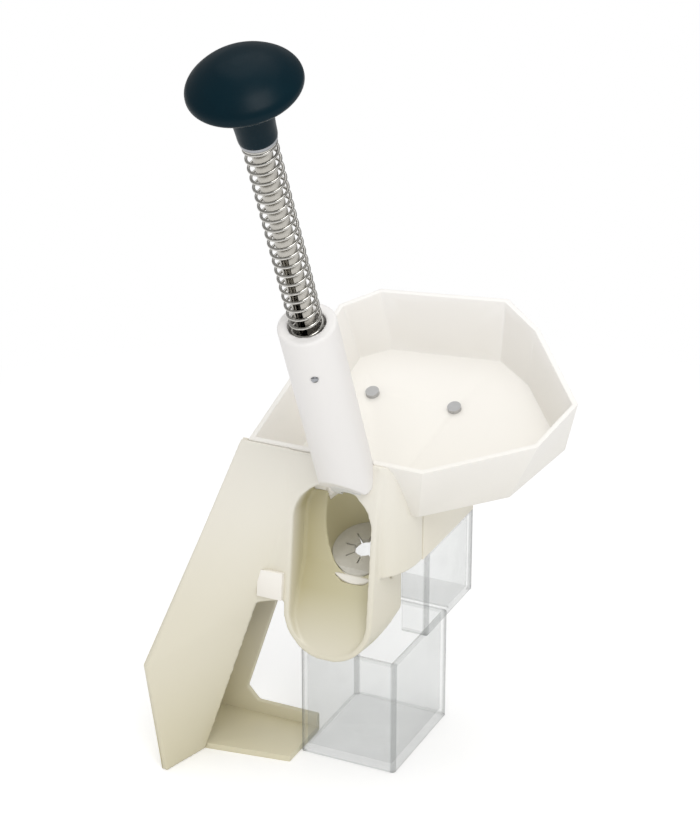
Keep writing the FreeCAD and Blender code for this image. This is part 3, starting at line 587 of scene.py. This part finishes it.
def moulded_together(meshes, voxel, passes):
    """One closed skin over several overlapping meshes, softened as a moulding is."""
    shape = bmesh.new()
    for mesh in meshes:
        shape.from_mesh(mesh)
    joined = bpy.data.meshes.new("joined")
    shape.to_mesh(joined)
    shape.free()
    obj = work_object("moulding", joined)
    skin = obj.modifiers.new("skin", "REMESH")
    skin.mode = "VOXEL"
    skin.voxel_size = voxel
    soft = obj.modifiers.new("soft", "SMOOTH")
    soft.factor = 0.5
    soft.iterations = passes
    return baked(obj)


def front_y(z, depth=0.0):
    """Y of the head's leaning front at a height, or of a plane behind it."""
    return FRONT_TOP[0] - (FRONT_TOP[1] - z) * FRONT_LEAN + depth


def leaning_cylinder(radius, low, high):
    """Cylinder about the plunger axis."""
    mesh = prism(circle((0, 0), radius, ARCH_STEPS), low, high)
    mesh.transform(LEAN)
    return mesh


def hopper_solid():
    """Block that the hopper takes up, from a little inside its front wall and its floor."""
    side, front = 2 * FAR, HOPPER_FRONT + HOPPER_SINK
    mesh = prism([(-side, front), (side, front), (side, side), (-side, side)],
                 HOPPER_FLOOR + HOPPER_SINK, side)
    mesh.transform(LEAN)
    return mesh


def sloped_block(left, right, low, high, back=None, depth=None):
    """Block behind the head's leaning front, as far as a plane at back or to an even depth."""
    mesh = prism([(left, low), (right, low), (right, high), (left, high)], 0, 1, "Y")
    # Y is 0 on the front end and 1 on the back end until they are moved into place
    for vertex in mesh.vertices:
        if vertex.co.y < 0.5:
            vertex.co.y = front_y(vertex.co.z)
        else:
            vertex.co.y = front_y(vertex.co.z, depth) if back is None else back
    return mesh


def arch_block(radius, depth):
    """Round block behind the head's leaning front, about the centre of the arch."""
    block = prism(circle(ARCH_CENTRE, radius, ARCH_STEPS), 0, 1, "Y")
    # The ends are moved into place as in sloped_block
    for vertex in block.vertices:
        vertex.co.y = front_y(vertex.co.z, depth if vertex.co.y > 0.5 else 0)
    return block


def chute_rim():
    """Front rim of the chute, over the arch and a little way down both sides."""
    centre, arch_foot = ARCH_CENTRE
    over = sloped_block(centre - RIM_RADIUS, centre + RIM_RADIUS, RIM_LOW, arch_foot,
                        depth=RIM_DEPTH)
    inner = sloped_block(centre - ARCH_RADIUS, centre + ARCH_RADIUS, 0, arch_foot, 2 * FAR)
    beside = sloped_block(centre, HEAD_RIGHT, arch_foot, RIM_HIGH, depth=RIM_DEPTH)
    opening = arch_block(ARCH_RADIUS, 2 * CHUTE_DEPTH)
    rim = carved(arch_block(RIM_RADIUS, RIM_DEPTH), [over, beside], "UNION")
    below = sloped_block(-FAR, FAR, 0, RIM_LOW, 3 * FAR)
    return carved(rim, [moved_ahead(opening, RIM_CUT_AHEAD), moved_ahead(inner, RIM_CUT_AHEAD),
                        moved_ahead(below, LOW_CUT_AHEAD)])


def moulded_head():
    """Head, chamber, front panel, hood, rim and shoulder, as one soft moulding."""
    arch = moved_ahead(arch_block(ARCH_RADIUS, CHUTE_DEPTH + HOOD_REACH), ARCH_CUT_AHEAD)
    bore = leaning_cylinder(BORE_RADIUS, *BORE_SPAN)
    rod_way = leaning_cylinder(ROD_WAY, *ROD_WAY_SPAN)
    hopper = hopper_solid()
    hood = sloped_block(*HOOD_SPAN, HOOD_LOW, FRONT_TOP[1], HOOD_BACK)
    hood = carved(hood, [arch, bore, hopper, rod_way])
    rim = carved(chute_rim(), [rod_way])
    plan = [(x * MM, y * MM) for x, y in SHOULDER_PLAN]
    in_front = sloped_block(-FAR, FAR, 0, 2 * FAR, -3 * FAR)
    shoulder = carved(prism(plan, SHOULDER_LOW, FRONT_TOP[1]), [bore, hopper, in_front])
    parts = [merged_copy(node) for node in HEAD_NODES] + [hood, rim, shoulder]
    skin = moulded_together(parts, VOXEL, passes=6)
    piece = new_piece("pitting_head_moulded", skin, "pitting_head", smooth_angle=80)
    piece.data.materials[0] = head_plastic_painted_shade()
    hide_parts(*HEAD_NODES)


def foot_cutter():
    """Block below the slanted cut at the foot of the tube and in front of the head."""
    slope = (FOOT_FRONT.z - FOOT_BACK.z) / (FOOT_FRONT.y - FOOT_BACK.y)
    ahead, behind = FOOT_CUT_SPAN
    corners = [(ahead, 0.0), (behind, 0.0), (behind, FOOT_BACK.z + (behind - FOOT_BACK.y) * slope),
               (ahead, FOOT_BACK.z + (ahead - FOOT_BACK.y) * slope)]
    block = prism(corners, -FAR, FAR)
    # The outline is drawn in Y and Z
    block.transform(Matrix(((0, 0, 1, 0), (1, 0, 0, 0), (0, 1, 0, 0), (0, 0, 0, 1))))
    return block


def moulded_tube():
    """Guide tube and its lower bush, cut on a slant where they meet the hood, and the stop pin.

    The tube and the pin are turned about the axis by PIN_TURN.
    """
    turn = LEAN @ Matrix.Rotation(PIN_TURN, 4, "Z") @ LEAN.inverted()
    tube = merged_copy("guide_tube")
    tube.transform(turn)
    skin = moulded_together([carved(tube, [foot_cutter()])], FINE_VOXEL, passes=4)
    new_piece("guide_tube_moulded", skin, "guide_tube", smooth_angle=70)
    bush = carved(merged_copy("stripper_bush"), [foot_cutter()])
    new_piece("stripper_bush_moulded", bush, "stripper_bush")
    pin = merged_copy("stop_pin")
    pin.transform(turn)
    new_piece("stop_pin_turned", pin, "stop_pin")


def lathe(profile):
    """Closed mesh turned about the plunger axis from (radius, height) pairs."""
    mesh = bpy.data.meshes.new("lathe")
    shape = bmesh.new()
    rings = []
    for radius, height in profile:
        points = circle((0, 0), radius, LATHE_STEPS)
        rings.append([shape.verts.new((x, y, height)) for x, y in points])
    for low, high in zip(rings, rings[1:]):
        for i in range(LATHE_STEPS):
            j = (i + 1) % LATHE_STEPS
            shape.faces.new((low[i], low[j], high[j], high[i]))
    bmesh.ops.remove_doubles(shape, verts=shape.verts, dist=LATHE_GAP)
    bmesh.ops.holes_fill(shape, edges=shape.edges)
    bmesh.ops.recalc_face_normals(shape, faces=shape.faces)
    shape.to_mesh(mesh)
    shape.free()
    mesh.transform(LEAN)
    return mesh


def smooth_profile(corners):
    """Catmull-Rom curve through (radius, height) corners in millimetres."""
    points = [corners[0]] + corners + [corners[-1]]
    curve = []
    for a, b, c, d in zip(points, points[1:], points[2:], points[3:]):
        for i in range(CURVE_STEPS):
            t = i / CURVE_STEPS
            curve.append(tuple(
                0.5 * (2 * q + (r - p) * t + (2 * p - 5 * q + 4 * r - s) * t ** 2
                       + (3 * q - p - 3 * r + s) * t ** 3)
                for p, q, r, s in zip(a, b, c, d)))
    curve.append(corners[-1])
    return [(max(radius, 0) * MM, height * MM) for radius, height in curve]


def turned_knob():
    """Palm knob: a neck that flares into a mushroom cap with a soft rim."""
    bore_top = KNOB_FOOT + KNOB_BORE_DEPTH
    inside = [(0.0, bore_top), (KNOB_BORE, bore_top), (KNOB_BORE, KNOB_FOOT)]
    skin = lathe(inside + smooth_profile(KNOB_SIDE))
    new_piece("palm_knob", skin, "knob", smooth_angle=50)


def spring_tree():
    """Nodes for a round-wire coil whose end turns lie closer together."""
    tree = bpy.data.node_groups.new("coil_spring", "GeometryNodeTree")
    sizes = (("Radius", SPRING_RADIUS), ("Wire", SPRING_WIRE), ("Length", SPRING_TOP - SPRING_FOOT),
             ("Turns", SPRING_TURNS), ("End Turns", SPRING_END_TURNS))
    for name, value in sizes:
        socket = tree.interface.new_socket(name, in_out="INPUT", socket_type="NodeSocketFloat")
        socket.default_value = value
    tree.interface.new_socket("Material", in_out="INPUT", socket_type="NodeSocketMaterial")
    tree.interface.new_socket("Geometry", in_out="OUTPUT", socket_type="NodeSocketGeometry")
    nodes, links = tree.nodes, tree.links
    given = nodes.new("NodeGroupInput").outputs
    result = nodes.new("NodeGroupOutput")

    def maths(operation, *values):
        node = nodes.new("ShaderNodeMath")
        node.operation = operation
        for socket, value in zip(node.inputs, values):
            if isinstance(value, bpy.types.NodeSocket):
                links.new(value, socket)
            else:
                socket.default_value = value
        return node.outputs[0]

    line = nodes.new("GeometryNodeCurvePrimitiveLine")
    resample = nodes.new("GeometryNodeResampleCurve")
    resample.inputs["Count"].default_value = SPRING_TURNS * STEPS_PER_TURN
    links.new(line.outputs[0], resample.inputs["Curve"])
    share = nodes.new("GeometryNodeSplineParameter").outputs["Factor"]
    turn = maths("MULTIPLY", maths("MULTIPLY", share, given["Turns"]), 2 * math.pi)
    # The rise is slow over the end turns and even between them
    pitch = maths("MULTIPLY", given["Wire"], SPRING_END_PITCH)
    ends = maths("DIVIDE", given["End Turns"], given["Turns"])
    lower = maths("MINIMUM", share, ends)
    upper = maths("MAXIMUM", maths("SUBTRACT", share, maths("SUBTRACT", 1, ends)), 0)
    middle = maths("SUBTRACT", maths("SUBTRACT", share, lower), upper)
    close = maths("MULTIPLY", maths("ADD", lower, upper), maths("MULTIPLY", given["Turns"], pitch))
    close_length = maths("MULTIPLY", maths("MULTIPLY", given["End Turns"], 2), pitch)
    run = maths("SUBTRACT", maths("SUBTRACT", given["Length"], close_length),
                maths("MULTIPLY", given["Wire"], 2))
    span = maths("SUBTRACT", 1, maths("MULTIPLY", ends, 2))
    rise = maths("ADD", maths("MULTIPLY", maths("DIVIDE", middle, span), run),
                 maths("ADD", close, given["Wire"]))
    place = nodes.new("ShaderNodeCombineXYZ")
    links.new(maths("MULTIPLY", maths("COSINE", turn), given["Radius"]), place.inputs["X"])
    links.new(maths("MULTIPLY", maths("SINE", turn), given["Radius"]), place.inputs["Y"])
    links.new(rise, place.inputs["Z"])
    coil = nodes.new("GeometryNodeSetPosition")
    links.new(resample.outputs[0], coil.inputs["Geometry"])
    links.new(place.outputs[0], coil.inputs["Position"])
    section = nodes.new("GeometryNodeCurvePrimitiveCircle")
    section.inputs["Resolution"].default_value = WIRE_SIDES
    links.new(given["Wire"], section.inputs["Radius"])
    wire = nodes.new("GeometryNodeCurveToMesh")
    wire.inputs["Fill Caps"].default_value = True
    links.new(coil.outputs[0], wire.inputs["Curve"])
    links.new(section.outputs[0], wire.inputs["Profile Curve"])
    real = nodes.new("GeometryNodeRealizeInstances")
    links.new(wire.outputs[0], real.inputs[0])
    paint = nodes.new("GeometryNodeSetMaterial")
    links.new(real.outputs[0], paint.inputs["Geometry"])
    links.new(given["Material"], paint.inputs["Material"])
    links.new(paint.outputs[0], result.inputs[0])
    return tree


def coil_spring():
    """Return spring round the rod, made once at one length, though the real one shortens as the
    plunger goes down.
    """
    work = work_object("spring_work", bpy.data.meshes.new("spring_work"))
    tree = spring_tree()
    modifier = work.modifiers.new("coil", "NODES")
    modifier.node_group = tree
    for item in tree.interface.items_tree:
        if item.in_out == "INPUT" and item.name == "Material":
            modifier[item.identifier] = FINISHES["spring_steel"]
    mesh = baked(work)
    mesh.transform(LEAN @ Matrix.Translation((0, 0, SPRING_FOOT)))
    piece = new_piece("coil_spring", mesh, "return_spring", smooth_angle=60)
    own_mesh(piece)


ROUNDED = {
    "panel_bar": SOFT_EDGE, "rear_panel": SOFT_EDGE, "leg_side_wall": SOFT_EDGE,
    "foot_plate": SOFT_EDGE, "chamber_housing": SOFT_EDGE, "seat_retainer": FINE_EDGE,
    "hopper": SOFT_EDGE, "splash_guard": FINE_EDGE, "pit_container": FINE_EDGE,
}
OWN_SHAPE = HEAD_NODES + ("guide_tube", "stripper_bush", "stop_pin", "knob", "return_spring")
for node, radius in ROUNDED.items():
    new_piece(node + "_moulded", rounded_copy(node, radius), node)
bpy.data.objects["splash_guard_moulded"].data.materials[0] = GUARD_CLEAR
bpy.data.objects["panel_bar_moulded"].data.materials[0] = BAR_PAINTED_LIGHT_AND_SHADE

moulded_head()
moulded_tube()
turned_knob()
coil_spring()

for node, obj in frame["nodes"].items():
    if node not in ROUNDED and node not in OWN_SHAPE:
        obj.data.materials.clear()
        obj.data.materials.append(FINISHES[NODE_SLOT[node]])


# Stage, light and camera

def stage_floor():
    """Pale floor that carries the shadow; the camera sees it lit near the part, white beyond."""
    mesh = bpy.data.meshes.new("floor")
    half = FLOOR_SIZE / 2
    corners = [(-half, -half, 0), (half, -half, 0), (half, half, 0), (-half, half, 0)]
    mesh.from_pydata(corners, [], [(0, 1, 2, 3)])
    floor = bpy.data.objects.new("floor", mesh)
    bpy.context.scene.collection.objects.link(floor)
    finish = Finish("floor_paper", Base_Color=FLOOR_COLOUR, Roughness=0.9, Specular_IOR_Level=0.0)
    paper = finish.shader.outputs[0]
    glow = finish.node("ShaderNodeEmission", None, {"Strength": FLOOR_GLOW}).outputs[0]
    near = finish.node("ShaderNodeAddShader", None, {0: paper, 1: glow}).outputs[0]
    white = finish.node("ShaderNodeEmission", None, {"Strength": 1.0}).outputs[0]
    length = finish.node("ShaderNodeVectorMath", {"operation": "LENGTH"}, {0: finish.place})
    away = Number(finish, length.outputs["Value"]).clamped(*SHADOW_REACH)
    seen = finish.node("ShaderNodeLightPath").outputs["Is Camera Ray"]
    finish.surface(finish.mixed(seen, paper, finish.mixed(away, near, white)))
    mesh.materials.append(finish.material)


def white_world():
    """White where it is seen, a plain even light for the rest, and dimmer in reflections."""
    world = bpy.data.worlds.new("studio")
    bpy.context.scene.world = world
    world.use_nodes = True
    nodes, links = world.node_tree.nodes, world.node_tree.links
    back = nodes["Background"]
    back.inputs["Color"].default_value = (1, 1, 1, 1)
    path = nodes.new("ShaderNodeLightPath")
    seen = nodes.new("ShaderNodeMath")
    seen.operation = "MAXIMUM"
    links.new(path.outputs["Is Camera Ray"], seen.inputs[0])
    links.new(path.outputs["Is Transmission Ray"], seen.inputs[1])
    mirrored = nodes.new("ShaderNodeMapRange")
    links.new(path.outputs["Is Glossy Ray"], mirrored.inputs["Value"])
    mirrored.inputs["To Min"].default_value = WORLD_LIGHT
    mirrored.inputs["To Max"].default_value = WORLD_DIM
    strength = nodes.new("ShaderNodeMapRange")
    links.new(seen.outputs[0], strength.inputs["Value"])
    links.new(mirrored.outputs[0], strength.inputs["To Min"])
    strength.inputs["To Max"].default_value = 1.0
    links.new(strength.outputs[0], back.inputs["Strength"])


def softbox(name, place, side, power):
    """Square lamp that faces the part."""
    lamp = bpy.data.lights.new(name, "AREA")
    lamp.shape = "RECTANGLE"
    lamp.size = side
    lamp.size_y = side
    lamp.energy = power
    obj = bpy.data.objects.new(name, lamp)
    obj.location = place
    obj.rotation_euler = (LAMP_AIM - Vector(place)).to_track_quat("-Z", "Y").to_euler()
    bpy.context.scene.collection.objects.link(obj)


stage_floor()
white_world()
for lamp in LAMPS:
    softbox(*lamp)

eye = bpy.data.cameras.new("camera")
eye.lens = CAMERA_LENS
eye.sensor_fit = "HORIZONTAL"
eye.sensor_width = SENSOR
camera = bpy.data.objects.new("camera", eye)
camera.location = CAMERA_PLACE
camera.rotation_euler = (math.pi / 2 - CAMERA_DIP, 0, CAMERA_TURN)
bpy.context.scene.collection.objects.link(camera)
bpy.context.scene.camera = camera
bpy.context.scene.view_settings.view_transform = "Standard"
